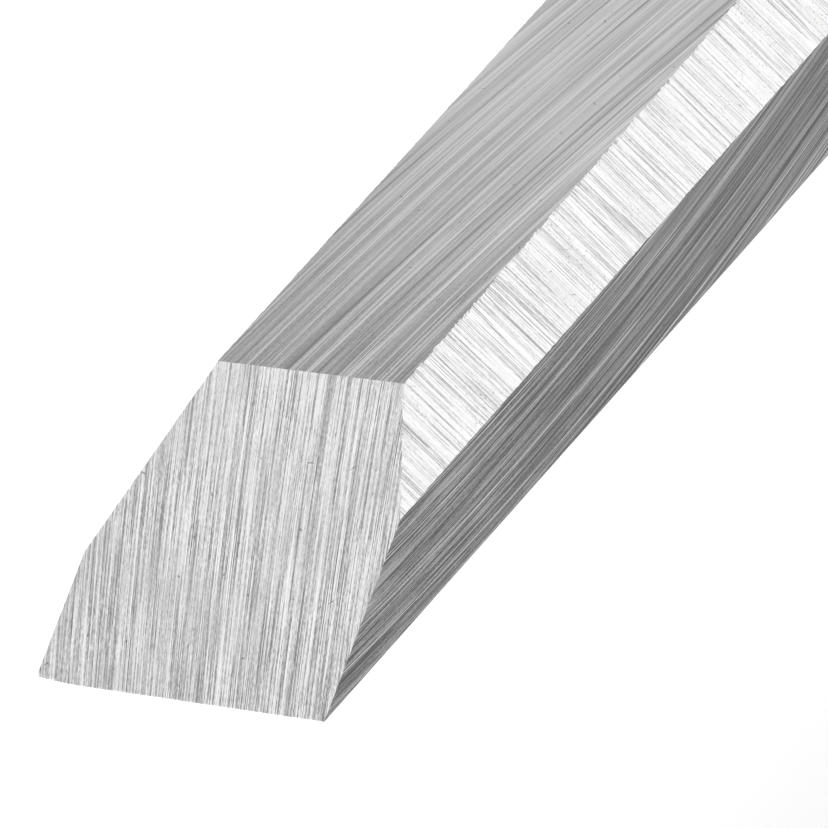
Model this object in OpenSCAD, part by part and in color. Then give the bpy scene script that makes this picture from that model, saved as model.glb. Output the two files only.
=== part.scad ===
// Bevel-edged bench chisel, 6 mm, with a hooped octagonal wooden handle.
// Millimetres. The origin is the middle of the cutting edge, on the flat back.
// +Y runs along the tool towards the handle, +Z from the flat back to the bevelled side.

/* [Blade] */
// Width of the blade and of its cutting edge
blade_w = 6; // [5:0.5:8]
// From the cutting edge to where the ground faces start to run out
blade_len = 90; // [75:1:110]
// Thickness where the cutting bevel meets the top face
tip_t = 4.07; // [3.4:0.01:4.8]
// Rise of the top face towards the handle, in degrees
top_rise = 0.9; // [0.4:0.05:1.2]
// Angle between the cutting bevel and the flat back, in degrees
bevel_angle = 30; // [25:0.5:35]

/* [Side bevels] */
// Height of the right-hand side face at the cutting edge
right_land = 2.44; // [1.8:0.01:2.8]
// Height of the left-hand side face at the cutting edge
left_land = 1.55; // [1.2:0.01:2.4]
// Lean of the right-hand bevel from the upright side face, in degrees
right_lean = 31.2; // [25:0.1:36]
// Lean of the left-hand bevel from the upright side face, in degrees
left_lean = 26.2; // [22:0.1:36]
// Rise of both side faces towards the handle, in degrees
land_rise = 0.55; // [0.3:0.05:0.9]
// How far the side bevels stop short of the ground faces
side_bevel_setback = 5; // [2:0.5:10]
// Radius of the wheel that leaves the curved run-outs
wheel_r = 30; // [20:1:60]

/* [Neck, bolster and tang] */
// Height of the tool's axis above the flat back
axis_z = 3; // [2.6:0.1:3.4]
// Radius of the neck behind the blade
neck_r = 4.4; // [4:0.1:5.2]
// Radius of the neck where its flare to the bolster starts
neck_back_r = 5.1; // [4.6:0.1:5.8]
// From the end of the ground faces to the front of the bolster
neck_len = 22; // [18:0.5:30]
// Length of the flat ground under the neck, measured from the end of the ground faces
neck_flat = 8; // [4:0.5:12]
// Radius of the flare from the neck to the bolster
flare_r = 3.4; // [2.5:0.1:4]
// Radius of the bolster's rim
bolster_r = 9; // [8.6:0.1:9.6]
// Thickness of the bolster
bolster_t = 4; // [3:0.25:6]
// Width across the flats of the square tang at the bolster
tang_w = 6.8; // [6:0.1:7.4]
// Width across the flats of the tang where its point starts
tang_end_w = 3.6; // [3:0.1:4.4]
// Length of the tang behind the bolster
tang_len = 56; // [45:1:70]
// Length of the tang's point
tang_point = 5; // [3:0.5:8]

/* [Leather washer] */
// Thickness of the washer
washer_t = 3; // [2:0.25:4]
// Radius of the washer
washer_r = 9.8; // [9:0.1:10.4]

/* [Ferrule] */
// Outer radius of the ferrule
ferrule_r = 11; // [10.6:0.1:11.6]
// Wall of the ferrule
ferrule_wall = 1.3; // [1:0.1:1.6]
// Length of the ferrule
ferrule_len = 16; // [12:0.5:20]

/* [Handle] */
// From the ferrule's front to the end of the handle
handle_len = 136; // [125:1:150]
// Distance from the axis to the planed flats at the ferrule
flat_front_r = 11.9; // [11.6:0.1:12.6]
// Distance from the axis to the planed flats at the hoop
flat_back_r = 13.2; // [12.8:0.1:14]
// Height taken off the corners between the flats
arris_ease = 0.25; // [0.1:0.05:0.4]
// Length of the rounded shoulder behind the ferrule
front_shoulder = 8; // [5:0.5:10]
// Length of the rounded shoulder in front of the hoop
back_shoulder = 4; // [3:0.5:8]
// How far the wood stands proud of the ferrule and of the hoop where it meets them
wood_lip = 0.2; // [0.1:0.05:0.3]
// Radius of the dome on the struck end
dome_r = 22; // [18:1:30]
// Rounding of the wood's rim at the struck end
dome_rim_round = 1.5; // [0.8:0.1:2]
// Radius of the pilot hole round the wide part of the tang
pilot_r = 3.9; // [3.6:0.1:4.2]
// Radius of the pilot hole round the narrow part of the tang
deep_pilot_r = 2.7; // [2.3:0.1:2.9]
// Depth of the wide pilot hole
pilot_depth = 24; // [18:1:32]
// Room left past the end of the tang
pilot_over = 4; // [2:0.5:8]

/* [Hoop] */
// Outer radius of the striking hoop
hoop_r = 12.8; // [12.4:0.1:13]
// Wall of the hoop
hoop_wall = 2; // [1.6:0.1:2.4]
// Length of the hoop
hoop_len = 10; // [8:0.5:12]
// Rounding of the hoop's struck edge
hoop_round = 1; // [0.5:0.1:1.4]
// From the back of the hoop to the top of the dome
hoop_to_end = 4.5; // [4:0.1:7]

/* [Fits and edges] */
// Radial room between the wood and a pressed-on ring
seat_gap = 0.03; // [0.01:0.01:0.1]
// Room between the tang and the hole that it was driven into
tang_gap = 0.03; // [0.01:0.01:0.1]
// Room between the tang's corners and the washer
washer_gap = 0.3; // [0.1:0.05:0.6]
// Small rounding of turned and pressed edges
edge_round = 0.5; // [0.3:0.05:0.8]

/* [Hidden] */
$fn = 128;

// Stations along the tool, measured from the cutting edge
bevel_len = tip_t / tan(bevel_angle);
bolster_front = blade_len + neck_len;
bolster_back = bolster_front + bolster_t;
handle_front = bolster_back + washer_t;
body_front = handle_front + ferrule_len;
handle_end = handle_front + handle_len;
hoop_back = handle_end - hoop_to_end;
hoop_front = hoop_back - hoop_len;
tang_end = bolster_back + tang_len;

// The forged rod is wide enough to hold the blade's corners
blade_corner_r = norm([blade_w / 2, axis_z]);
corner_margin = 0.1;
rod_r = max(neck_r, blade_corner_r + corner_margin);
shoulder_len = 6;

// Seats of the two pressed-on rings
ferrule_bore_r = ferrule_r - ferrule_wall;
front_seat_r = ferrule_bore_r - seat_gap;
hoop_bore_r = hoop_r - hoop_wall;
hoop_seat_r = hoop_bore_r - seat_gap;

// Eight flats are planed on a turned cone, whose corners they leave as narrow rounded strips
flats = 8;
flat_turn = 360 / flats;

// The ground faces run out before the bolster's rim, with this much room
runout_room = 1;

tang_point_w = 1.4;
washer_hole_r = tang_w / sqrt(2) + washer_gap;

// Cuts overrun the faces that they start from, and reach well past the widest piece
over = 1;
reach = 3 * flat_back_r;

// Radius of an arc that leaves a line smoothly and climbs by a height over a length
function climb_r(length, height) = (length * length + height * height) / (2 * height);

// The wheel's radius, limited where its run-out would reach the bolster's rim
function runout_r(length, height) = min(wheel_r, climb_r(length, height + runout_room));

// Distance from the axis to the flats, and to the corners between them, at a station
function flat_at(y) =
    flat_front_r + (flat_back_r - flat_front_r) * (y - body_front) / (hoop_front - body_front);
function arris_at(y) = flat_at(y) / cos(flat_turn / 2) - arris_ease;

// Turns a flat profile, drawn as radius and station, about the tool's axis
module turned() {
    translate([0, 0, axis_z])
        rotate([-90, 0, 0])
            rotate_extrude()
                children();
}

// A profile's rectangle from the axis to radius r, between two stations
module span(r, from, to) {
    translate([0, from]) square([r, to - from]);
}

// A span whose two outer corners are rounded
module rounded_span(r, from, to, front, back) {
    span(r - max(front, back), from, to);
    span(r, from + front, to - back);
    if (front > back) span(r - back, from + front, to);
    if (back > front) span(r - front, from, to - back);
    translate([r - front, from + front]) circle(front);
    translate([r - back, to - back]) circle(back);
}

// What a grinding wheel takes off: all above the local plane z = 0,
// up to y = run, then out along an arc of radius r
module grinding_pass(run, r) {
    translate([-reach, -reach, 0]) cube([2 * reach, reach + run, reach]);
    translate([0, run, r])
        rotate([0, 90, 0])
            cylinder(r = r, h = 2 * reach, center = true);
}

// Grinds the right-hand side face square to the back
module side_pass() {
    translate([blade_w / 2, 0, 0])
        rotate([0, 90, 0])
            grinding_pass(blade_len, runout_r(neck_len, bolster_r - blade_w / 2));
}

// Grinds the bevel above the right-hand side face
module side_bevel_pass(land, lean) {
    translate([blade_w / 2, 0, land])
        rotate([land_rise, 0, 0])
            rotate([0, 90 - lean, 0])
                grinding_pass(blade_len - side_bevel_setback, runout_r(neck_len, bolster_r - blade_w / 2));
}

// Grinds the top face, which rises towards the handle
module top_pass() {
    translate([0, bevel_len, tip_t])
        rotate([top_rise, 0, 0])
            grinding_pass(blade_len - bevel_len, runout_r(neck_len, axis_z + bolster_r - tip_t));
}

// Grinds the flat back, which carries on under the neck
module back_pass() {
    mirror([0, 0, 1])
        grinding_pass(blade_len + neck_flat, runout_r(neck_len - neck_flat, bolster_r - axis_z));
}

// Grinds the cutting bevel across the end
module cutting_bevel_pass() {
    rotate([bevel_angle, 0, 0])
        translate([-reach, -reach, 0])
            cube([2 * reach, 2 * reach, reach]);
}

// Profile of the forging in front of the tang: rod, neck, flare and bolster
module forging_profile() {
    neck_start = blade_len + shoulder_len;
    flare_start = bolster_front - flare_r;
    span(rod_r, 0, blade_len);
    polygon([
        [0, blade_len], [rod_r, blade_len], [neck_r, neck_start],
        [neck_back_r, flare_start], [neck_back_r, bolster_front], [0, bolster_front]
    ]);
    difference() {
        span(neck_back_r + flare_r, flare_start, bolster_front);
        translate([neck_back_r + flare_r, flare_start]) circle(flare_r);
    }
    rounded_span(bolster_r, bolster_front, bolster_back, edge_round, edge_round);
}

// Outline of one side of the tang, in half widths and stations
module tang_outline(gap) {
    root = tang_w / 2 + gap;
    waist = tang_end_w / 2 + gap;
    tip = tang_point_w / 2 + gap;
    polygon([
        [-root, bolster_back - over], [root, bolster_back - over],
        [root, bolster_back], [waist, tang_end - tang_point], [tip, tang_end + gap],
        [-tip, tang_end + gap], [-waist, tang_end - tang_point], [-root, bolster_back]
    ]);
}

// Square tang that tapers to a blunt point
module tang(gap = 0) {
    translate([0, 0, axis_z])
        intersection() {
            linear_extrude(2 * tang_w, center = true) tang_outline(gap);
            rotate([0, 90, 0]) linear_extrude(2 * tang_w, center = true) tang_outline(gap);
        }
}

// One forging: blade, neck, bolster and tang
module blade() {
    color("silver")
    union() {
        difference() {
            turned() forging_profile();
            top_pass();
            back_pass();
            side_pass();
            mirror([1, 0, 0]) side_pass();
            side_bevel_pass(right_land, right_lean);
            mirror([1, 0, 0]) side_bevel_pass(left_land, left_lean);
            cutting_bevel_pass();
        }
        tang();
    }
}

// Leather shock washer between the bolster and the handle
module leather_washer() {
    color("saddlebrown")
    turned()
        difference() {
            rounded_span(washer_r, bolster_back, handle_front, edge_round, edge_round);
            span(washer_hole_r, bolster_back - over, handle_front + over);
        }
}

// Steel tube that keeps the front of the handle from splitting
module ferrule() {
    color("lightsteelblue")
    turned()
        difference() {
            rounded_span(ferrule_r, handle_front, body_front, edge_round, edge_round);
            span(ferrule_bore_r, handle_front - over, body_front + over);
        }
}

// Convex shoulder that rises from radius r_low at one station to the body's corners at another
module shoulder(r_low, from, to) {
    r_high = arris_at(to);
    arc_r = climb_r(to - from, r_high - r_low);
    intersection() {
        span(r_high, min(from, to), max(from, to));
        translate([r_high - arc_r, to]) circle(arc_r);
    }
}

// Turned profile of the handle, from the ferrule's seat to the domed end
module handle_profile() {
    cone_front = body_front + front_shoulder;
    cone_back = hoop_front - back_shoulder;
    span(front_seat_r, handle_front, cone_front);
    shoulder(ferrule_r + wood_lip, body_front, cone_front);
    polygon([
        [0, cone_front], [arris_at(cone_front), cone_front],
        [arris_at(cone_back), cone_back], [0, cone_back]
    ]);
    shoulder(hoop_r + wood_lip, hoop_front, cone_back);
    intersection() {
        rounded_span(hoop_seat_r, cone_back, handle_end, 0, dome_rim_round);
        translate([0, handle_end - dome_r]) circle(dome_r);
    }
}

// Two opposite flats as one tapered slab
module flat_pair() {
    front = handle_front - over;
    back = handle_end + over;
    linear_extrude(2 * reach, center = true)
        polygon([
            [-flat_at(front), front], [flat_at(front), front],
            [flat_at(back), back], [-flat_at(back), back]
        ]);
}

// Stepped pilot hole, with the square hole that the tang cut when it was driven in
module tang_hole() {
    turned() {
        span(pilot_r, handle_front - over, handle_front + pilot_depth);
        span(deep_pilot_r, handle_front, tang_end + pilot_over);
    }
    tang(tang_gap);
}

// Octagonal wooden handle: a turned body with eight planed flats
module handle() {
    color("burlywood")
    difference() {
        intersection() {
            turned() handle_profile();
            intersection_for(i = [0 : flats / 2 - 1])
                translate([0, 0, axis_z]) rotate([0, i * flat_turn, 0]) flat_pair();
        }
        tang_hole();
    }
}

// Steel hoop that keeps the struck end from splitting
module hoop() {
    color("lightsteelblue")
    turned()
        difference() {
            rounded_span(hoop_r, hoop_front, hoop_back, edge_round, hoop_round);
            span(hoop_bore_r, hoop_front - over, hoop_back + over);
        }
}

blade();
leather_washer();
ferrule();
handle();
hoop();
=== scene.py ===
import math
from typing import NamedTuple

import bmesh
import bpy
from mathutils import Matrix, Vector, noise


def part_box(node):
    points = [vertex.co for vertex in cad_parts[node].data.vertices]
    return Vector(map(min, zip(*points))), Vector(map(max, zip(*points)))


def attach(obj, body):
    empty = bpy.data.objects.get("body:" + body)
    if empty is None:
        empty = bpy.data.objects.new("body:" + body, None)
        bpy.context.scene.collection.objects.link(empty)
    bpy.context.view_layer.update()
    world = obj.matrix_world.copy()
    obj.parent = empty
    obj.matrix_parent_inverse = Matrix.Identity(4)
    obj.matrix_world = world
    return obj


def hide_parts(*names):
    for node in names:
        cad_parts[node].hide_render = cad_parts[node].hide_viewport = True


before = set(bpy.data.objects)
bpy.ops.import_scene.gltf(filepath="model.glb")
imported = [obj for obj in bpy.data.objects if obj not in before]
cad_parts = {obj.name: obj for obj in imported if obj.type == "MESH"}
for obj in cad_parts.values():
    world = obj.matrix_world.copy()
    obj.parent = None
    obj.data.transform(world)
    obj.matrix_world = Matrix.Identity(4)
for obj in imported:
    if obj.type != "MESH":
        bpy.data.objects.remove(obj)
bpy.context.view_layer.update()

# Metres in a millimetre
MM = 0.001

# Mean of a tone, which runs from 0, dark, to 1, light
MEAN_TONE = 0.5


class Side(NamedTuple):
    """One side of the blade: an upright land with a side bevel over it, in millimetres and radians."""

    land: float  # height of the land at the cutting edge
    lean: float  # how far the side bevel leans in
    seed: float  # start of the noise on its edges
    ease: float  # how far its lower edge is eased
    ridge_rough: float  # roughness of its upper edge


class Lines(NamedTuple):
    """One kind of grinding line."""

    pitch: float  # distance between lines, in millimetres
    length: float  # over the usual length of a face's lines
    share: float  # over the weight that a face gives to this kind
    seed: float  # added to the face's seed
    skewed: bool = False  # whether it crosses the other kinds at a small angle


class Grind(NamedTuple):
    """Finish of one ground face, whose greys and mean tone hold painted reflection as well as the steel's
    own tone. Its weights are parts of a whole tone.
    """

    dark: float  # grey at tone 0
    light: float  # grey at tone 1
    seed: float  # start of its noise
    reach: float  # usual length of its lines, in millimetres
    fine: float  # weight of the finest lines
    heavy: float  # weight of wide lines and patches
    grit: float  # weight of the grain
    base: float = MEAN_TONE  # mean tone at the cutting edge, partly painted reflection
    rise: float = 0.0  # change of the mean tone per millimetre: a painted gradient of light
    bright: float = 0.0  # weight of the painted gleams, bright lines that stand in for glints
    scale: float = 1.0  # width of the lines
    bold: float = 0.0  # weight of a few long lines
    smudge: float = 0.0  # how much some patches darken
    painted_glint: float = 0.0  # how white the painted glints on the brightest scratches are
    nicked: float = 0.08  # share of the cells with a nick
    specked: float = 0.1  # how much specks darken
    rubbed: float = 0.0  # share of the finest lines that is lost away from the tip


# The blade's ground faces, in millimetres and radians, as on the solid
BLADE_W = 6.0
TIP_T = 4.07
TOP_RISE = math.radians(0.9)
BEVEL_ANGLE = math.radians(30)
BEVEL_LEN = TIP_T / math.tan(BEVEL_ANGLE)
LAND_RISE = math.radians(0.55)
RIGHT = Side(land=2.44, lean=math.radians(31.2), seed=3.1, ease=0.0, ridge_rough=0.045)
LEFT = Side(land=1.55, lean=math.radians(26.2), seed=7.7, ease=0.08, ridge_rough=0.012)
AXIS_Z = 3.0

# Where this surface joins the solid's own mesh, and the spacing of its rows up to there
JOIN_Y = 80.0
FINE_END = 34.0
FINE_STEP = 0.06
COARSE_STEP = 0.4

# Surfaces round the blade's cross-section, with the number of strips that each is made of
SURFACES = [
    ("back", 1),
    ("arris", 1),
    ("side", 1),
    ("side_bevel", 3),
    ("top", 1),
    ("side_bevel", 3),
    ("side", 1),
    ("arris", 1),
]
FACES = [kind for kind, strips in SURFACES for _ in range(strips)]
BACK_SIDE = FACES.index("back")
TOP_SIDE = FACES.index("top")

# How the solid's faces behind the join are told apart: the neck's start and radius, and how square
# a face is to the direction that its kind faces
NECK_Y = 106.5
NECK_R = 4.3
ROUND_FACING = 0.995
BACK_FACING = 0.8
FLAT_FACING = 0.93

# Distances in metres under which points of the mesh are one point, or lie on a plane or a line, and the
# share of a line that counts as its end
WELD = 1e-6
FINE_WELD = 2e-9
SAME_POINT = 1e-9
ON_PLANE = 1e-7
ON_LINE = 2e-6
LINE_END = 1e-4

# The cutting edge: its blunt height, its teeth, the wear of its left corner, and the room without rows
# behind it
EDGE_LAND = 0.02
EDGE_POINTS = 240
EDGE_TEETH = 0.025
EDGE_SEED = 4.4
EDGE_NIP = 0.14
NIP_REACH = 1.1
EDGE_ROOM = 0.2

# The ridge between the cutting bevel and the top face: its teeth, how far it runs askew, and the room
# without rows beside it
RIDGE_POINTS = 110
RIDGE_TEETH = 0.02
RIDGE_SEED = 6.1
RIDGE_SKEW = 0.045
RIDGE_ROOM = 0.15

# Spacing of the teeth on both, and height of the arrises along the flat back
TEETH_PERIOD = 0.1
ARRIS = 0.03

# The ragged long edges of the side bevels, with narrow strips beside them. They get smooth before the
# join and towards the ridge
STRIP = 0.06
STRIP_SHARE = 0.4
STRIPS_TO_BEGIN = 4
LAND_ROUGH = 0.018
LAND_PERIOD = 0.12
RIDGE_PERIOD = 0.11
RIDGE_SEED_STEP = 1.2
SMOOTH_END = JOIN_Y - 1.0
SMOOTH_RUN = 5.0
CORNER_RUN = 0.3

# The finer noise in all of them: its pace, weight and seed, and the plane that the noise is cut along
FINER_PACE = 2.7
FINER_WEIGHT = 0.5
FINER_SEED = 9.3
NOISE_PLANE = 0.5

# How the grinding lines run on each face: sideways drift per millimetre along it, and its change
BEVEL_DRIFT = -0.235
BEVEL_CURVE = 0.0085
BEVEL_FAN = 0.01
TOP_DRIFT = 0.035
TOP_CURVE = 0.0028
SIDE_DRIFT = -0.045
SIDE_CURVE = 0.0055
BACK_DRIFT = -0.05
CURVE_END = 30.0
SIDE_BEVEL_SKEW = math.radians(28.4)

# Kinds of grinding lines: three that make up the finest ones, then the others
SHORT_LINES = Lines(pitch=0.024, length=0.3, share=1.1, seed=1.3)
LONG_LINES = Lines(pitch=0.04, length=1.3, share=0.7, seed=2.9, skewed=True)
THREADS = Lines(pitch=0.035, length=1.0, share=0.7, seed=6.4, skewed=True)
BROAD_LINES = Lines(pitch=0.08, length=1.0, share=2.4, seed=12.6)
HEAVY_LINES = Lines(pitch=0.09, length=1.7, share=1.0, seed=4.7)
BOLD_LINES = Lines(pitch=0.055, length=3.0, share=1.0, seed=11.9, skewed=True)
# Painted gleams and glints: bright and white lines in the colour that stand in for light glinting on the
# scratches
PAINTED_GLEAMS = Lines(pitch=0.035, length=2.0, share=1.0, seed=5.2, skewed=True)
PAINTED_GLINTS = Lines(pitch=0.03, length=2.2, share=1.0, seed=10.3, skewed=True)
GLINT_GREY = 1.0

# Grain, in millimetres, and wide soft streaks, whose length is over the usual length of a face's lines
GRIT_W = 0.022
GRIT_LEN = 0.11
GRIT_SEED = 9.7
WIDE_W = 0.25
WIDE_LEN = 2.0
WIDE_SEED = 8.1

# How much wide streaks and patches count, over the weight that a face gives to heavy lines
WIDE_SHARE = 0.8
PATCH_SHARE = 0.4

# How far the lines sway, in millimetres, and how much the skewed ones lean over the others
SWAY = 0.08
SKEW = 0.015

# How much pits and nicks darken the tone, and the grid of the nicks, in millimetres
PIT_DARK = 0.3
NICK_DARK = 0.5
NICK_CELL = 0.8
NICK_SEED = 7.5

# Depth of the lines, in millimetres, and the roughness at the darkest and the lightest tone
GROUND_DEPTH = 0.003
DARK_ROUGH = 0.42
LIGHT_ROUGH = 0.3

# Stations between which broad lines take the place of the finest ones, away from the freshly ground tip
FRESH_END = 8.0
RUBBED_START = 22.0

# Distance along the lines where the painted gradient of light in a face's mean tone stops
RISE_END = 22.0

# The finish of each ground surface of the blade. Their greys are partly the steel's own and partly painted
# reflection: the side bevels are painted near white as a painted highlight, and the top and above all the
# sides are painted dark as painted shade
GRINDS = {
    "bevel": Grind(
        dark=0.24, light=0.96, seed=1.0, reach=7.0, fine=0.33, heavy=0.02, grit=0.84,
        base=0.493, rise=0.011, scale=0.85, bold=0.2, smudge=0.05, painted_glint=0.5, nicked=0.2,
    ),
    "top": Grind(
        dark=0.28, light=0.86, seed=13.0, reach=14.0, fine=0.14, heavy=0.34, grit=0.48,
        base=0.21, rise=0.0195, bright=0.7, painted_glint=0.85, rubbed=0.72,
    ),
    "side_bevel": Grind(
        dark=0.4, light=1.0, seed=21.0, reach=8.0, fine=0.5, heavy=0.03, grit=0.75,
        base=0.748, scale=1.2, bold=0.12, specked=0.45, rubbed=0.2,
    ),
    "side": Grind(
        dark=0.04, light=0.36, seed=33.0, reach=14.0, fine=0.6, heavy=0.02, grit=0.9,
        base=0.338, rise=0.003, bright=0.32, scale=0.9, painted_glint=0.7, rubbed=0.65,
    ),
    "arris": Grind(dark=0.16, light=0.4, seed=41.0, reach=6.0, fine=0.5, heavy=0.3, grit=0.5),
    "back": Grind(dark=0.35, light=0.7, seed=51.0, reach=14.0, fine=0.4, heavy=0.3, grit=0.4),
}
STEELS = [*GRINDS, "turned"]

# Turned steel: a usual radius, the depth of the lathe's lines and the grid of the nicks, in millimetres,
# and the share of the grid's cells with a nick
TURNED_R = 11.0
TURNED_DEPTH = 0.006
TURNED_NICK_CELL = 2.5
TURNED_NICKED = 0.35

# Growth rings of the handle's wood, in millimetres: their width, their pith, and how uneven they are
RING = 2.1
PITH_X = 17.0
PITH_Z = -12.0
PITH_LEAN = 0.025
PITH_WANDER = 7.0
RING_RIPPLE = 0.9
RING_FIBRE = 0.25

# Where early and late wood start and end in a ring, from 0 to 1
EARLY_RISE = (0.0, 0.05)
EARLY_FALL = (0.2, 0.45)
LATE_RISE = (0.3, 0.93)
LATE_FALL = (0.955, 1.0)

# Depth of the grain, and where the struck end starts
GRAIN_DEPTH = 0.05
STRUCK_Y = 249.0
STRUCK_RUN = 2.0

# Colours of the wood and of the leather
EARLY_WOOD = (0.57, 0.32, 0.125, 1.0)
LATE_WOOD = (0.33, 0.15, 0.045, 1.0)
PALE_WOOD = (0.67, 0.41, 0.18, 1.0)
DARK_WOOD = (0.35, 0.155, 0.05, 1.0)
PORE = (0.13, 0.058, 0.02, 1.0)
RUBBED_WOOD = (0.7, 0.47, 0.25, 1.0)
BRUISED_WOOD = (0.24, 0.12, 0.05, 1.0)
DARK_LEATHER = (0.055, 0.021, 0.009, 1.0)
LIGHT_LEATHER = (0.3, 0.135, 0.055, 1.0)
WORN_LEATHER = (0.36, 0.19, 0.09, 1.0)

# The leather washer: points round and across its edge, then its hole and its squeezed edge, in
# millimetres, how squarely it bulges, and the pace of the noise round and through it
WASHER_TURNS = 200
WASHER_ACROSS = 16
WASHER_HOLE_R = 5.2
WASHER_BULGE = 0.9
WASHER_UNEVEN = 0.12
WASHER_LAYER = 0.1
LEATHER_DEPTH = 0.2
WASHER_SQUARE = 3.5
UNEVEN_PACE = 1.6
LAYER_PACE = 5.0
LAYERS = 9.0

# The octagonal handle's flats, in millimetres. The tool lies on the bottom one
HANDLE_FLATS = 8
FLAT_FRONT_R = 11.9
FLAT_BACK_R = 13.2
FLAT_FRONT_Y = 135.0
FLAT_BACK_Y = 240.5
FLAT_END_RUN = 4.0

# The floor's reach, in metres, its grey and its glow
FLOOR_REACH = 9.0
FLOOR_GREY = 0.85
FLOOR_GLOW = 0.6

# Brightness of the world as a lamp and, in metal, at the horizon, and the height where it is full there
AMBIENT = 0.38
HORIZON = 0.45
FULL_SKY = 0.9

# The lamps, in metres and radiances, and the point that they are aimed at
LIT_POINT = (0.0, 0.12, 0.0)
KEY_PLACE = (-0.9, -0.45, 0.8)
KEY_SIZE = 0.7
KEY_RADIANCE = 5.2
RIM_PLACE = (0.85, 1.5, 0.25)
RIM_SIZE = 1.0
RIM_RADIANCE = 0.6

# The photograph's viewpoint: angles in degrees, sizes in millimetres and pixels
IMAGE_PX = 828
VIEW_YAW = 20.32
VIEW_PITCH = 23.7
VIEW_ROLL = 0.37
VIEW_DISTANCE = 400.0
PX_PER_MM = 51.5
EDGE_MIDDLE_PX = (179.45, 700.7)
SENSOR = 36.0
CLIP_START = 10.0


class Graph:
    """A node tree of a material or of the world, with short calls for the nodes used here."""

    def __init__(self, owner, shader="Principled BSDF"):
        owner.use_nodes = True
        self.owner = owner
        self.tree = owner.node_tree
        self.shader = self.tree.nodes[shader]

    def put(self, socket, value):
        """Sets an input to a plain value, or links it to another node's output."""
        if isinstance(value, bpy.types.NodeSocket):
            self.tree.links.new(value, socket)
        else:
            socket.default_value = value

    def node(self, kind, inputs, **settings):
        made = self.tree.nodes.new(kind)
        for key, value in settings.items():
            setattr(made, key, value)
        for key, value in inputs.items():
            self.put(made.inputs[key], value)
        return made

    def math(self, operation, a, b=0.0):
        return self.node("ShaderNodeMath", {0: a, 1: b}, operation=operation).outputs[0]

    def add(self, *values):
        total = values[0]
        for value in values[1:]:
            total = self.math("ADD", total, value)
        return total

    def times(self, a, b):
        return self.math("MULTIPLY", a, b)

    def ramp(self, value, low, high, to_low=0.0, to_high=1.0):
        """Maps low..high to to_low..to_high and holds the ends."""
        limits = {"Value": value, "From Min": low, "From Max": high, "To Min": to_low, "To Max": to_high}
        return self.node("ShaderNodeMapRange", limits, interpolation_type="SMOOTHSTEP").outputs[0]

    def fade(self, value, low, high):
        """One up to low, and zero from high on."""
        return self.ramp(value, low, high, 1.0, 0.0)

    def hump(self, value, rise, fall):
        """One between a rise and a fall, which are given by their ends, and zero outside them."""
        return self.times(self.ramp(value, *rise), self.fade(value, *fall))

    def vector(self, x, y, z):
        return self.node("ShaderNodeCombineXYZ", {0: x, 1: y, 2: z}).outputs[0]

    def split(self, vector):
        return self.node("ShaderNodeSeparateXYZ", {0: vector}).outputs

    def noise(self, vector, detail=2.0, roughness=0.5):
        inputs = {"Vector": vector, "Scale": 1.0, "Detail": detail, "Roughness": roughness}
        return self.node("ShaderNodeTexNoise", inputs).outputs[0]

    def grain(self, place, across, along, seed=0.0, detail=2.0, roughness=0.5):
        """Noise with so many cells per millimetre across and along the tool's axis."""
        x, y, z = place
        up = self.add(self.times(z, across), seed)
        cells = self.vector(self.times(x, across), self.times(y, along), up)
        return self.noise(cells, detail, roughness)

    def chance(self, vector):
        """A value of 0 to 1 that jumps with the vector."""
        made = self.node("ShaderNodeTexWhiteNoise", {"Vector": vector}, noise_dimensions="3D")
        return made.outputs["Value"]

    def mix(self, factor, a, b):
        """A colour between a and b."""
        made = self.node("ShaderNodeMix", {0: factor, 6: a, 7: b}, data_type="RGBA")
        return made.outputs[2]

    def position(self):
        """The point on the object, in millimetres."""
        coordinates = self.node("ShaderNodeTexCoord", {}).outputs["Object"]
        inputs = {0: coordinates, "Scale": 1 / MM}
        return self.split(self.node("ShaderNodeVectorMath", inputs, operation="SCALE").outputs[0])

    def turn(self, x, z):
        """The angle round the tool's axis, in radians, with its seam underneath."""
        return self.math("ARCTAN2", x, self.add(z, -AXIS_Z))

    def bump(self, height, depth):
        """Bumps the surface by a height of 0 to 1, which stands for a depth in millimetres."""
        inputs = {"Height": height, "Strength": 1.0, "Distance": depth * MM}
        self.put(self.shader.inputs["Normal"], self.node("ShaderNodeBump", inputs).outputs[0])

    def finish(self, **inputs):
        for name, value in inputs.items():
            self.put(self.shader.inputs[name.replace("_", " ")], value)
        return self.owner


def grey(value):
    return (value, value, value, 1.0)


def centred(g, value, weight):
    """A noise value moved to swing about zero, times a weight."""
    return g.times(g.math("SUBTRACT", value, 0.5), weight)


def streaks(g, u, v, width, length, seed):
    """Long thin noise cells, about width by length millimetres, that run along v."""
    return g.noise(g.vector(g.times(u, 1 / width), g.times(v, 1 / length), seed), roughness=0.6)


def scratches(g, u, v, pitch, length, seed, even=False):
    """Lines a pitch apart, each -1 to 1 over its lengths along v, most of them near zero unless even."""
    most_shift = 17.0
    soft_end = 0.12
    soft_edge = 0.3
    across = g.times(u, 1 / pitch)
    column = g.math("FLOOR", across)
    shift = g.times(g.chance(g.vector(column, seed, 0.0)), most_shift)
    along = g.add(g.times(v, 1 / length), shift)
    level = g.add(g.times(g.chance(g.vector(column, g.math("FLOOR", along), seed + 0.5)), 2.0), -1.0)
    ends = g.ramp(g.math("PINGPONG", along, 0.5), 0.0, soft_end)
    profile = g.ramp(g.math("PINGPONG", across, 0.5), 0.0, soft_edge)
    strength = level if even else g.times(g.times(level, level), level)
    return g.times(strength, g.times(ends, profile))


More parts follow.
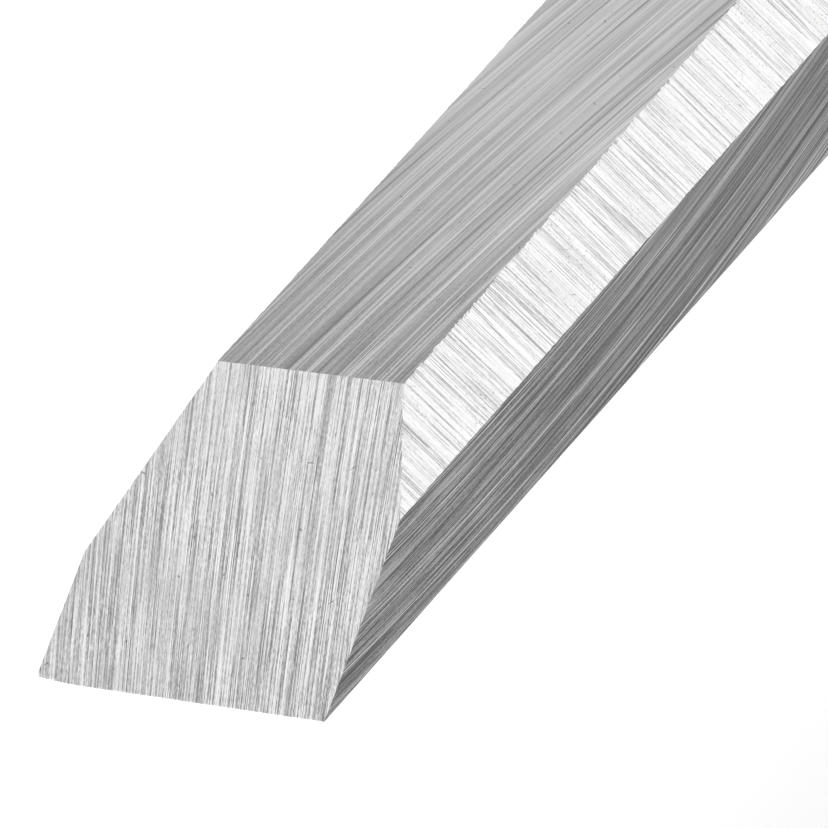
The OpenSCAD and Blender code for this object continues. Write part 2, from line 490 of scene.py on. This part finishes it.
def nicks(g, u, v, cell, share, seed):
    """Marks in a share of the square cells of a grid: thin ones that run any way, and short pits."""
    most_length = 0.1
    most_width = 0.05
    thinning = 0.03
    soft_end = 0.03
    across = g.times(u, 1 / cell)
    along = g.times(v, 1 / cell)
    column = g.math("FLOOR", across)
    row = g.math("FLOOR", along)
    marked = g.math("LESS_THAN", g.chance(g.vector(column, row, seed)), share)
    angle = g.times(g.chance(g.vector(column, row, seed + 0.5)), math.pi)
    size = g.chance(g.vector(column, row, seed + 0.7))
    length = g.times(size, most_length)
    width = g.add(g.times(size, -thinning), most_width)
    cos = g.math("COSINE", angle)
    sin = g.math("SINE", angle)
    p = g.add(across, g.times(column, -1.0), -0.5)
    q = g.add(along, g.times(row, -1.0), -0.5)
    off_line = g.math("ABSOLUTE", g.math("SUBTRACT", g.times(p, sin), g.times(q, cos)))
    on_line = g.math("ABSOLUTE", g.add(g.times(p, cos), g.times(q, sin)))
    thin = g.fade(g.math("DIVIDE", off_line, width), 0.0, 1.0)
    short = g.fade(g.math("SUBTRACT", on_line, length), -soft_end, soft_end)
    return g.times(g.times(marked, thin), short)


class GroundFace:
    """Marks on one ground face, in the coordinates u across and v along its grinding lines."""

    def __init__(self, g, finish):
        self.g = g
        self.finish = finish
        grind = g.node("ShaderNodeAttribute", {}, attribute_name="grind").outputs["Vector"]
        self.u, self.v, _ = g.split(grind)
        sway = self.cells(across=0.4, along=0.5 / finish.reach, detail=0.0)
        self.u = g.add(self.u, centred(g, sway, SWAY))
        self.skewed = g.add(self.u, g.times(self.v, SKEW))

    def cells(self, across, along, seed=0.0, detail=2.0):
        """Noise with so many cells per millimetre across and along the lines."""
        g = self.g
        place = g.vector(g.times(self.u, across), g.times(self.v, along), self.finish.seed + seed)
        return g.noise(place, detail)

    def laid(self, kind):
        """Coordinates, pitch, length and seed of one kind of line."""
        across = self.skewed if kind.skewed else self.u
        pitch = kind.pitch * self.finish.scale
        length = kind.length * self.finish.reach
        return across, self.v, pitch, length, self.finish.seed + kind.seed

    def crisp(self, kind, weight=1.0, even=False):
        """Separate lines of one kind."""
        return self.g.times(scratches(self.g, *self.laid(kind), even), kind.share * weight)

    def soft(self, kind, weight):
        """Lines of one kind that run into each other."""
        return centred(self.g, streaks(self.g, *self.laid(kind)), kind.share * weight)

    def finest(self):
        """Short and long lines, threads between them and grain."""
        finish = self.finish
        grit = streaks(self.g, self.u, self.v, GRIT_W * finish.scale, GRIT_LEN, finish.seed + GRIT_SEED)
        return self.g.add(
            self.crisp(SHORT_LINES, finish.fine, even=True),
            self.crisp(LONG_LINES, finish.fine),
            self.soft(THREADS, finish.fine),
            centred(self.g, grit, finish.grit),
        )

    def wide(self):
        """Wide soft streaks."""
        finish = self.finish
        marks = streaks(self.g, self.u, self.v, WIDE_W, WIDE_LEN * finish.reach, finish.seed + WIDE_SEED)
        return centred(self.g, marks, finish.heavy * WIDE_SHARE)

    def flaws(self, patches):
        """Pits, specks that keep to some patches, and nicks."""
        g = self.g
        finish = self.finish
        pits = g.ramp(self.cells(across=9.0, along=5.0, detail=1.0), low=0.72, high=0.8)
        dots = g.ramp(self.cells(across=22.0, along=17.0, seed=13.8, detail=0.0), low=0.7, high=0.76)
        specks = g.times(dots, g.ramp(patches, low=0.5, high=0.6))
        nicked = nicks(g, self.u, self.v, NICK_CELL, finish.nicked, finish.seed + NICK_SEED)
        return g.add(
            g.times(pits, -PIT_DARK),
            g.times(specks, -finish.specked),
            g.times(nicked, -NICK_DARK),
        )


def ground_steel(name, finish):
    """Coarsely ground steel, whose lines follow the grind coordinates of the mesh, with painted gleams and
    glints and a painted gradient of light in its colour.
    """
    g = Graph(bpy.data.materials.new(name))
    face = GroundFace(g, finish)
    patches = face.cells(across=0.9, along=0.6, seed=3.6)
    patchy = g.ramp(patches, low=0.35, high=0.65, to_low=1.25, to_high=0.7)
    smudges = g.ramp(patches, low=0.5, high=0.72)
    _, y, _ = g.position()
    rubbed = g.ramp(y, FRESH_END, RUBBED_START, to_high=finish.rubbed)
    tone = g.add(
        # painted gradient of light along the face
        g.times(g.math("MINIMUM", face.v, RISE_END), finish.rise),
        finish.base,
        g.times(face.finest(), g.times(patchy, g.math("SUBTRACT", 1.0, rubbed))),
        g.times(face.soft(BROAD_LINES, finish.grit), rubbed),
        face.crisp(HEAVY_LINES, finish.heavy),
        face.crisp(BOLD_LINES, finish.bold),
        # painted gleams, standing in for light glinting on scratches
        g.times(g.math("MAXIMUM", face.crisp(PAINTED_GLEAMS), 0.0), finish.bright),
        face.wide(),
        centred(g, patches, finish.heavy * PATCH_SHARE),
        g.times(smudges, -finish.smudge),
        face.flaws(patches),
    )
    tone = g.ramp(tone, 0.0, 1.0)
    g.bump(tone, GROUND_DEPTH)
    # Painted glints: white lines where light would glint on the brightest scratches
    glints = g.ramp(face.crisp(PAINTED_GLINTS), low=0.6, high=0.85, to_high=finish.painted_glint)
    # The face's greys hold painted reflection: painted highlight on the side bevels, painted shade on the
    # top and the sides
    steel = g.mix(tone, grey(finish.dark), grey(finish.light))
    return g.finish(
        Base_Color=g.mix(glints, steel, grey(GLINT_GREY)),
        Roughness=g.ramp(tone, 0.0, 1.0, DARK_ROUGH, LIGHT_ROUGH),
        Metallic=1.0,
    )


def turned_steel(name, dark, light, seed, ends=()):
    """Steel finished on a lathe, with lines round the tool's axis, worn bright at its ends' stations."""
    g = Graph(bpy.data.materials.new(name))
    place = g.position()
    x, y, z = place
    arc = g.times(g.turn(x, z), TURNED_R)
    cuts = g.grain(place, across=0.12, along=8.0, seed=seed, detail=3.0, roughness=0.65)
    band = g.grain(place, across=0.05, along=0.7, seed=seed + 3.0)
    stain = g.grain(place, across=0.18, along=0.18, seed=seed + 7.0, detail=4.0, roughness=0.6)
    chips = g.grain(place, across=1.2, along=1.2, seed=seed, detail=3.0, roughness=0.6)
    wear = 0.0
    for end in ends:
        from_end = g.add(g.math("ABSOLUTE", g.add(y, -end)), centred(g, chips, weight=1.6))
        wear = g.math("MAXIMUM", wear, g.fade(from_end, low=0.1, high=0.9))
    fine = scratches(g, y, arc, pitch=0.05, length=9.0, seed=seed + 1.0, even=True)
    heavy = scratches(g, y, arc, pitch=0.14, length=22.0, seed=seed + 2.0)
    nicked = nicks(g, arc, y, TURNED_NICK_CELL, TURNED_NICKED, seed + 4.0)
    tone = g.add(
        MEAN_TONE,
        centred(g, cuts, weight=0.7),
        g.times(fine, 0.3),
        g.times(heavy, 0.35),
        centred(g, band, weight=0.5),
        centred(g, stain, weight=0.8),
        g.times(wear, 0.22),
        g.times(nicked, -NICK_DARK),
    )
    tone = g.ramp(tone, 0.0, 1.0)
    g.bump(g.add(g.times(cuts, 0.6), g.times(tone, 0.4)), TURNED_DEPTH)
    stained = g.ramp(stain, low=0.2, high=0.8, to_low=0.44, to_high=0.32)
    return g.finish(
        Base_Color=g.mix(tone, grey(dark), grey(light)),
        Roughness=g.add(stained, g.times(wear, -0.08)),
        Metallic=1.0,
    )


def through_ring(g, place, fibre):
    """How far a point of the wood is through its growth ring, from 0 to 1."""
    x, y, z = place
    wander = g.grain(place, across=0.06, along=0.012)
    ripple = g.grain(place, across=0.3, along=0.03)
    from_pith_x = g.add(x, -PITH_X, centred(g, wander, PITH_WANDER))
    from_pith_z = g.add(z, -PITH_Z, g.times(y, PITH_LEAN))
    squares = g.add(g.times(from_pith_x, from_pith_x), g.times(from_pith_z, from_pith_z))
    shifts = g.add(centred(g, ripple, RING_RIPPLE), centred(g, fibre, RING_FIBRE))
    return g.math("FRACT", g.times(g.add(g.math("SQRT", squares), shifts), 1 / RING))


def open_pores(g, place, early):
    """Grooves of the wood's pores, most of them in its early rings, and of finer ones all over."""
    large = g.ramp(g.grain(place, across=6.5, along=0.26, detail=1.0), low=0.53, high=0.61)
    small = g.ramp(g.grain(place, across=11.0, along=0.5, detail=1.0), low=0.6, high=0.68)
    mostly_early = g.add(g.times(early, 0.9), 0.1)
    return g.math("MAXIMUM", g.times(large, mostly_early), g.times(small, 0.35))


def rubbed_arrises(g, place):
    """One where hands have rubbed the corners between the handle's flats."""
    x, y, z = place
    rubs = g.grain(place, across=0.5, along=0.2, detail=3.0, roughness=0.6)
    half_flat = math.pi / HANDLE_FLATS
    from_arris = g.math("SUBTRACT", half_flat, g.math("PINGPONG", g.turn(x, z), half_flat))
    near_arris = g.fade(g.add(from_arris, centred(g, rubs, weight=0.14)), low=0.0, high=0.07)
    return g.times(near_arris, g.fade(y, FLAT_BACK_Y - FLAT_END_RUN, FLAT_BACK_Y))


def struck_end(g, place):
    """How bruised the struck end of the handle is."""
    bruises = g.grain(place, across=0.35, along=0.35, detail=3.0, roughness=0.55)
    _, y, _ = place
    at_end = g.ramp(y, STRUCK_Y, STRUCK_Y + STRUCK_RUN)
    return g.times(at_end, g.ramp(bruises, low=0.35, high=0.65, to_low=0.1, to_high=0.5))


def wood(name):
    """Straight-grained, ring-porous hardwood under a thin satin varnish."""
    g = Graph(bpy.data.materials.new(name))
    place = g.position()
    fibre = g.grain(place, across=4.5, along=0.1, detail=3.0, roughness=0.6)
    patch = g.grain(place, across=0.05, along=0.025)
    ring = through_ring(g, place, fibre)
    late = g.hump(ring, LATE_RISE, LATE_FALL)
    grooves = open_pores(g, place, g.hump(ring, EARLY_RISE, EARLY_FALL))
    struck = struck_end(g, place)
    colour = g.mix(late, EARLY_WOOD, LATE_WOOD)
    colour = g.mix(g.ramp(fibre, low=0.3, high=0.75, to_high=0.4), colour, PALE_WOOD)
    colour = g.mix(g.ramp(patch, low=0.35, high=0.7, to_high=0.25), colour, DARK_WOOD)
    colour = g.mix(g.times(grooves, 0.75), colour, PORE)
    colour = g.mix(g.times(rubbed_arrises(g, place), 0.45), colour, RUBBED_WOOD)
    colour = g.mix(struck, colour, BRUISED_WOOD)
    g.bump(g.add(g.times(grooves, -0.8), g.times(fibre, 0.25), g.times(late, 0.2)), GRAIN_DEPTH)
    satin = g.ramp(fibre, low=0.2, high=0.8, to_low=0.36, to_high=0.48)
    return g.finish(
        Base_Color=colour,
        Roughness=g.add(g.times(grooves, 0.2), satin, g.times(struck, 0.2)),
        Specular_IOR_Level=0.35,
        Coat_Weight=0.15,
        Coat_Roughness=0.18,
    )


def leather(name):
    """Cut edge of vegetable-tanned leather: pressed layers of fibre, paler where it is worn."""
    g = Graph(bpy.data.materials.new(name))
    place = g.position()
    layers = g.grain(place, across=0.4, along=4.5, detail=4.0, roughness=0.65)
    fibres = g.grain(place, across=3.0, along=12.0, detail=3.0, roughness=0.6)
    holes = g.ramp(g.grain(place, across=3.5, along=6.0, detail=1.0), low=0.62, high=0.72)
    worn = g.grain(place, across=0.25, along=0.4, detail=3.0)
    tone = g.add(
        MEAN_TONE,
        centred(g, layers, weight=2.2),
        centred(g, fibres, weight=1.4),
        g.times(holes, -0.5),
    )
    tone = g.ramp(tone, 0.0, 1.0)
    colour = g.mix(tone, DARK_LEATHER, LIGHT_LEATHER)
    colour = g.mix(g.ramp(worn, low=0.48, high=0.7, to_high=0.5), colour, WORN_LEATHER)
    g.bump(g.add(g.times(layers, 0.6), g.times(fibres, 0.4), g.times(holes, -0.5)), LEATHER_DEPTH)
    return g.finish(Base_Color=colour, Roughness=g.ramp(tone, 0.0, 1.0, to_low=0.6, to_high=0.82))


def swing(position, period, seed):
    """Repeatable noise of about -1 to 1 along a line, with finer noise on it."""
    pace = position / period
    coarse = noise.noise(Vector((pace, seed, NOISE_PLANE)))
    finer = noise.noise(Vector((pace * FINER_PACE, seed + FINER_SEED, NOISE_PLANE)))
    return coarse + FINER_WEIGHT * finer


def top_height(y):
    """Height of the cutting bevel or of the top face over the flat back."""
    bevel = max(y * math.tan(BEVEL_ANGLE), EDGE_LAND)
    return min(bevel, TIP_T + (y - BEVEL_LEN) * math.tan(TOP_RISE))


def run_in(y, z, side):
    """How far a side bevel has come in from its side face."""
    return math.tan(side.lean) * (math.cos(LAND_RISE) * (z - side.land) - math.sin(LAND_RISE) * y)


def side_bevel(land, ridge, ease, land_rough, ridge_rough):
    """Points up a side bevel: eased and ragged at its edges, and on its plane between strips there."""
    length = max((ridge - land).length, STRIP)
    begun = min(1.0, length / (STRIPS_TO_BEGIN * max(ease, STRIP)))
    ragged_land = land + Vector((0.0, begun * (land_rough - ease)))
    ragged_ridge = ridge + Vector((begun * ridge_rough, 0.0))
    over_land = land.lerp(ridge, min(STRIP_SHARE, max(ease, STRIP) / length))
    under_ridge = ridge.lerp(land, min(STRIP_SHARE, STRIP / length))
    return [ragged_land, over_land, under_ridge, ragged_ridge]


def blade_section(y):
    """Corners of the blade's cross-section at a station, from the lower left round to the right."""
    half = BLADE_W / 2
    top = top_height(y)
    ragged = min(1.0, max(0.0, (SMOOTH_END - y) / SMOOTH_RUN))
    ragged_ridge = ragged * min(1.0, abs(y - BEVEL_LEN) / CORNER_RUN)
    bevels = []
    for side in (RIGHT, LEFT):
        inwards = max(run_in(y, top, side), 0.0)
        land_top = min(side.land + y * math.tan(LAND_RISE), top)
        bevels.append(side_bevel(
            Vector((half, land_top)),
            Vector((half - inwards, top)),
            ragged * side.ease,
            ragged * LAND_ROUGH * swing(y, LAND_PERIOD, side.seed),
            ragged_ridge * side.ridge_rough * swing(y, RIDGE_PERIOD, side.seed + RIDGE_SEED_STEP),
        ))
    right, left = bevels
    arris = min(ARRIS, right[0].y / 2)
    return [
        Vector((-half, 0.0)),
        Vector((half, 0.0)),
        Vector((half, arris)),
        *right,
        *(Vector((-point.x, point.y)) for point in reversed(left)),
        Vector((-half, arris)),
    ]


def blade_rows():
    """Stations of the rows, closer together where the photograph looks."""
    rows = [i * FINE_STEP for i in range(round(FINE_END / FINE_STEP))]
    rows = [y for y in rows if y > EDGE_ROOM and abs(y - BEVEL_LEN) > RIDGE_ROOM]
    rows.extend((0.0, BEVEL_LEN))
    rows.extend(FINE_END + i * COARSE_STEP for i in range(round((JOIN_Y - FINE_END) / COARSE_STEP)))
    return sorted(rows)


def toothed(start, end, count, depth, seed):
    """Points from one corner of the blade to before the next, with small teeth between them."""
    points = []
    for i in range(count):
        x, y, z = start.lerp(end, i / count)
        tooth = depth * abs(swing(x, TEETH_PERIOD, seed)) if i else 0.0
        points.append((x, y + tooth, z))
    return points


def worn_edge(point):
    """A point of the cutting edge, set back where its left end is worn."""
    x, y, z = point
    from_end = (x + BLADE_W / 2) / NIP_REACH
    y += EDGE_NIP * max(0.0, 1.0 - from_end) ** 2
    if z > 0.0:
        z = max(z, y * math.tan(BEVEL_ANGLE))
    return x, y, z


def blade_row(work, station):
    """Adds the points of one row, and returns them by side, each with the next side's first point."""
    corners = [Vector((point.x, station, point.y)) for point in blade_section(station)]
    at_edge = station == 0.0
    at_ridge = station == BEVEL_LEN
    if at_ridge:
        for corner in corners[TOP_SIDE:TOP_SIDE + 2]:
            corner.y += RIDGE_SKEW * corner.x
    sides = []
    for i, (corner, following) in enumerate(zip(corners, corners[1:] + corners[:1])):
        points = [corner]
        if at_edge and i in (BACK_SIDE, TOP_SIDE):
            points = toothed(corner, following, EDGE_POINTS, EDGE_TEETH, EDGE_SEED)
        if at_ridge and i == TOP_SIDE:
            points = toothed(corner, following, RIDGE_POINTS, RIDGE_TEETH, RIDGE_SEED)
        if at_edge:
            points = [worn_edge(point) for point in points]
        sides.append([work.verts.new((x * MM, y * MM, z * MM)) for x, y, z in points])
    return [side + following[:1] for side, following in zip(sides, sides[1:] + sides[:1])]


def drift(run, start, change):
    """How far sideways a grinding line has moved after a run along the face."""
    curved = min(run, CURVE_END)
    straight = run - curved
    return start * run + change * (curved * curved / 2 + CURVE_END * straight)


def grind_point(face, x, y, z):
    """Coordinates of a point across and along the grinding lines of its face, in millimetres."""
    if face == "bevel":
        up = y / math.cos(BEVEL_ANGLE)
        return (x * (1 - BEVEL_FAN * up) - drift(up, BEVEL_DRIFT, BEVEL_CURVE), up, 0.0)
    if face == "top":
        return (x - drift(y, TOP_DRIFT, TOP_CURVE), y, 0.0)
    if face in ("side", "arris"):
        return (z - drift(y, SIDE_DRIFT, SIDE_CURVE), y, x)
    if face == "side_bevel":
        side = RIGHT if x > 0 else LEFT
        ridge = TIP_T + (y - BEVEL_LEN) * math.tan(TOP_RISE)
        down = (ridge - z) / math.cos(side.lean)
        skew_sin = math.sin(SIDE_BEVEL_SKEW)
        skew_cos = math.cos(SIDE_BEVEL_SKEW)
        return (y * skew_cos - down * skew_sin, y * skew_sin + down * skew_cos, x)
    return (x - drift(y, BACK_DRIFT, 0.0), y, 0.0)


def rear_face(face):
    """Which ground or turned surface of the forging a face of the solid's mesh lies on."""
    centre = face.calc_center_median() / MM
    normal = face.normal
    from_axis = Vector((centre.x, 0, centre.z - AXIS_Z))
    outward = abs(from_axis.normalized().dot(Vector((normal.x, 0, normal.z)).normalized()))
    if centre.y > NECK_Y or (outward > ROUND_FACING and from_axis.length > NECK_R):
        return "turned"
    if normal.z < -BACK_FACING:
        return "back"
    if abs(normal.x) > FLAT_FACING:
        return "side"
    return "top" if normal.z > FLAT_FACING else "side_bevel"


def keep_rear(work, solid):
    """Fills a mesh with the part of the solid behind the join, and returns the points of the cut."""
    work.from_mesh(solid.data)
    bmesh.ops.remove_doubles(work, verts=work.verts, dist=WELD)
    everything = work.verts[:] + work.edges[:] + work.faces[:]
    plane = {"plane_co": (0, JOIN_Y * MM, 0), "plane_no": (0, 1, 0)}
    bmesh.ops.bisect_plane(work, geom=everything, dist=ON_PLANE, clear_inner=True, **plane)
    return [v for v in work.verts if abs(v.co.y - JOIN_Y * MM) < WELD]


def close_front(row, add_face):
    """Closes the blunt cutting edge, where the points of the back and of the bevel lie over each other."""
    back = row[BACK_SIDE]
    bevel = row[TOP_SIDE][::-1]
    right_end = [side[0] for side in row[BACK_SIDE + 2:TOP_SIDE]]
    left_end = [side[0] for side in row[TOP_SIDE + 2:]]
    last = len(back) - 2
    for i in range(last + 1):
        points = [back[i], back[i + 1]]
        if i == last:
            points += right_end
        points += [bevel[i + 1], bevel[i]]
        if i == 0:
            points += left_end
        add_face(points, "bevel")


def joined_sides(row, kind):
    """The lines of one kind of surface in a row, with its strips joined, and the arrises as sides."""
    names = ["side" if face == "arris" else face for face in FACES]
    lines = []
    for i, side in enumerate(row):
        if names[i] != kind:
            continue
        if i and names[i - 1] == kind:
            lines[-1] = lines[-1] + side[1:]
        else:
            lines.append(list(side))
    return lines


def nearest(points, target):
    return min(points, key=lambda point: (point.co - target.co).length)


def close_join(row, joint, add_face):
    """Closes the gap between the last row and the cut edge of the solid's mesh."""
    for kind in ("back", "side", "side_bevel", "top"):
        for near in joined_sides(row, kind):
            first = nearest(joint, near[0])
            last = nearest(joint, near[-1])
            line = last.co - first.co
            inside = []
            for v in joint:
                t = (v.co - first.co).dot(line) / line.length_squared
                off = (v.co - first.co - t * line).length
                if LINE_END < t < 1 - LINE_END and off < ON_LINE:
                    inside.append((t, v))
            far = [first, *(v for _, v in sorted(inside, key=lambda pair: pair[0])), last]
            add_face(far + near[::-1], kind)


def blade_mesh(solid):
    """The forging's surface: ground faces with ragged ridges in front, the solid's own mesh behind."""
    work = bmesh.new()
    joint = keep_rear(work, solid)
    kinds = {face: rear_face(face) for face in work.faces}
    rows = [blade_row(work, y) for y in blade_rows()]

    def add_face(points, kind):
        unique = []
        for point in points:
            if all((point.co - other.co).length > SAME_POINT for other in (unique[-1:] + unique[:1])):
                unique.append(point)
        if len(unique) > 2:
            kinds[work.faces.new(unique)] = kind

    close_front(rows[0], add_face)
    for row, next_row in zip(rows, rows[1:]):
        for kind, near, far in zip(FACES, row, next_row):
            if kind == "top" and near[0].co.y < BEVEL_LEN * MM - WELD:
                kind = "bevel"
            add_face(far + near[::-1], kind)
    close_join(rows[-1], joint, add_face)
    bmesh.ops.remove_doubles(work, verts=work.verts, dist=FINE_WELD)
    mesh = bpy.data.meshes.new("blade_surface")
    for face in work.faces:
        face.material_index = STEELS.index(kinds[face])
        face.smooth = kinds[face] == "turned"
    bmesh.ops.recalc_face_normals(work, faces=work.faces)
    work.to_mesh(mesh)
    work.free()
    write_grind(mesh)
    return mesh


def write_grind(mesh):
    """Stores each face corner's place along its grinding lines."""
    stored = mesh.attributes.new("grind", "FLOAT_VECTOR", "CORNER")
    for polygon in mesh.polygons:
        kind = STEELS[polygon.material_index]
        for corner in polygon.loop_indices:
            point = mesh.vertices[mesh.loops[corner].vertex_index].co / MM
            stored.data[corner].vector = grind_point(kind, point.x, point.y, point.z)


def place_object(name, data):
    """Puts a mesh, a lamp or a camera into the scene as an object."""
    made = bpy.data.objects.new(name, data)
    bpy.context.scene.collection.objects.link(made)
    return made


def make_blade():
    mesh = blade_mesh(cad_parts["blade"])
    blade = place_object("blade_surface", mesh)
    for face, finish in GRINDS.items():
        mesh.materials.append(ground_steel(f"{face}_steel", finish))
    mesh.materials.append(turned_steel("forging_steel", dark=0.16, light=0.4, seed=3.0))
    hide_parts("blade")
    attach(blade, "root")


def ends_of(node):
    """Stations of a node's front and back, in millimetres."""
    low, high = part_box(node)
    return low.y / MM, high.y / MM


def washer_outline(angle, front, back, outer):
    """Radius and station of the points across the washer's bulging edge, at one angle round the tool."""
    around = Vector((math.cos(angle), math.sin(angle), 0.0))
    points = []
    for i in range(WASHER_ACROSS + 1):
        t = i / WASHER_ACROSS
        bulge = WASHER_BULGE * (1 - abs(2 * t - 1) ** WASHER_SQUARE)
        uneven = WASHER_UNEVEN * math.sin(math.pi * t) * noise.noise(around * UNEVEN_PACE)
        layer = WASHER_LAYER * noise.noise(around * LAYER_PACE + Vector((0.0, 0.0, LAYERS * t)))
        radius = outer - WASHER_BULGE - WASHER_UNEVEN + bulge + uneven + layer
        points.append((min(radius, outer), front + (back - front) * t))
    return points


def make_washer():
    """Leather ring, squeezed so that its edge bulges and isn't quite round."""
    low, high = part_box("leather_washer")
    front, back = ends_of("leather_washer")
    outer = (high.x - low.x) / 2 / MM
    hole = [(WASHER_HOLE_R, back), (WASHER_HOLE_R, front)]
    work = bmesh.new()
    rings = []
    for i in range(WASHER_TURNS):
        angle = 2 * math.pi * i / WASHER_TURNS
        ring = []
        for r, y in washer_outline(angle, front, back, outer) + hole:
            place = Vector((r * math.sin(angle), y, AXIS_Z + r * math.cos(angle)))
            ring.append(work.verts.new(place * MM))
        rings.append(ring)
    for ring, following in zip(rings, rings[1:] + rings[:1]):
        for j, k in zip(range(len(ring)), [*range(1, len(ring)), 0]):
            work.faces.new((ring[j], ring[k], following[k], following[j])).smooth = True
    bmesh.ops.recalc_face_normals(work, faces=work.faces)
    mesh = bpy.data.meshes.new("washer_leather")
    work.to_mesh(mesh)
    work.free()
    washer = place_object("washer_leather", mesh)
    mesh.materials.append(leather("washer_leather"))
    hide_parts("leather_washer")
    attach(washer, "root")


def dress(node, material):
    """Gives a solid that keeps its own shape its finish."""
    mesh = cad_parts[node].data
    mesh.materials.clear()
    mesh.materials.append(material)


def flat_height(y):
    """Height of the handle's bottom flat at a station."""
    slope = (FLAT_BACK_R - FLAT_FRONT_R) / (FLAT_BACK_Y - FLAT_FRONT_Y)
    return AXIS_Z - FLAT_FRONT_R - slope * (y - FLAT_FRONT_Y)


def by_mirror(g, path):
    """One for rays that come by reflection or through glass."""
    return g.math("MAXIMUM", path["Is Glossy Ray"], path["Is Transmission Ray"])


def make_floor():
    """White floor under the handle's bottom flat, tilted with it."""
    slope = flat_height(1.0) - flat_height(0.0)
    middle = 0.5 * (FLAT_FRONT_Y + FLAT_BACK_Y)
    corners = []
    for sx, sy in ((-1, -1), (1, -1), (1, 1), (-1, 1)):
        y = sy * FLOOR_REACH
        corners.append((sx * FLOOR_REACH, middle * MM + y, flat_height(middle) * MM + slope * y))
    mesh = bpy.data.meshes.new("floor")
    mesh.from_pydata(corners, [], [(0, 1, 2, 3)])
    floor = place_object("floor", mesh)
    g = Graph(bpy.data.materials.new("floor_white"))
    path = g.node("ShaderNodeLightPath", {}).outputs
    seen = g.math("MAXIMUM", path["Is Camera Ray"], by_mirror(g, path))
    mesh.materials.append(g.finish(
        Base_Color=grey(FLOOR_GREY),
        Roughness=0.9,
        Specular_IOR_Level=0.0,
        Emission_Color=grey(1.0),
        Emission_Strength=g.times(seen, FLOOR_GLOW),
    ))


def make_world():
    """White behind the object; metal sees it dim a little towards the horizon."""
    world = bpy.data.worlds.new("studio")
    bpy.context.scene.world = world
    g = Graph(world, "Background")
    path = g.node("ShaderNodeLightPath", {}).outputs
    up = g.split(g.node("ShaderNodeTexCoord", {}).outputs["Generated"])[2]
    sky = g.times(by_mirror(g, path), g.ramp(up, 0.0, FULL_SKY, to_low=HORIZON))
    seen = g.math("MAXIMUM", path["Is Camera Ray"], sky)
    g.finish(Color=grey(1.0), Strength=g.math("MAXIMUM", seen, AMBIENT))


def softbox(name, place, size, radiance, mirrored):
    """Square soft light of a given brightness, aimed at the object, which metal reflects or not."""
    lamp = bpy.data.lights.new(name, "AREA")
    lamp.size = size
    lamp.energy = radiance * math.pi * size * size
    light = place_object(name, lamp)
    light.location = place
    light.rotation_euler = (Vector(LIT_POINT) - Vector(place)).to_track_quat("-Z", "Y").to_euler()
    light.visible_camera = False
    light.visible_glossy = mirrored


def make_camera():
    """Camera at the photograph's viewpoint, from the angles and the cutting edge's place in the picture."""
    yaw, pitch, roll = (math.radians(a) for a in (VIEW_YAW, VIEW_PITCH, VIEW_ROLL))
    ahead = Vector((-math.sin(yaw) * math.cos(pitch), math.cos(yaw) * math.cos(pitch), -math.sin(pitch)))
    level = Vector((math.cos(yaw), math.sin(yaw), 0))
    down = ahead.cross(level)
    right = math.cos(roll) * level + math.sin(roll) * down
    down = math.cos(roll) * down - math.sin(roll) * level
    off_x, off_y = ((px - IMAGE_PX / 2) / PX_PER_MM for px in EDGE_MIDDLE_PX)
    place = -(off_x * right + off_y * down + VIEW_DISTANCE * ahead) * MM
    data = bpy.data.cameras.new("photo_camera")
    data.sensor_width = SENSOR
    data.lens = SENSOR * PX_PER_MM * VIEW_DISTANCE / IMAGE_PX
    data.clip_start = CLIP_START * MM
    camera = place_object("photo_camera", data)
    camera.matrix_world = Matrix.Translation(place) @ Matrix((right, -down, -ahead)).transposed().to_4x4()
    bpy.context.scene.camera = camera


make_camera()
make_blade()
make_washer()
dress("ferrule", turned_steel("ferrule_steel", dark=0.2, light=0.52, seed=5.0, ends=ends_of("ferrule")))
dress("hoop", turned_steel("hoop_steel", dark=0.15, light=0.44, seed=8.0, ends=ends_of("hoop")))
dress("handle", wood("handle_wood"))
make_floor()
make_world()
softbox("key_softbox", KEY_PLACE, KEY_SIZE, KEY_RADIANCE, mirrored=False)
softbox("rim_softbox", RIM_PLACE, RIM_SIZE, RIM_RADIANCE, mirrored=True)
bpy.context.scene.view_settings.view_transform = "Standard"
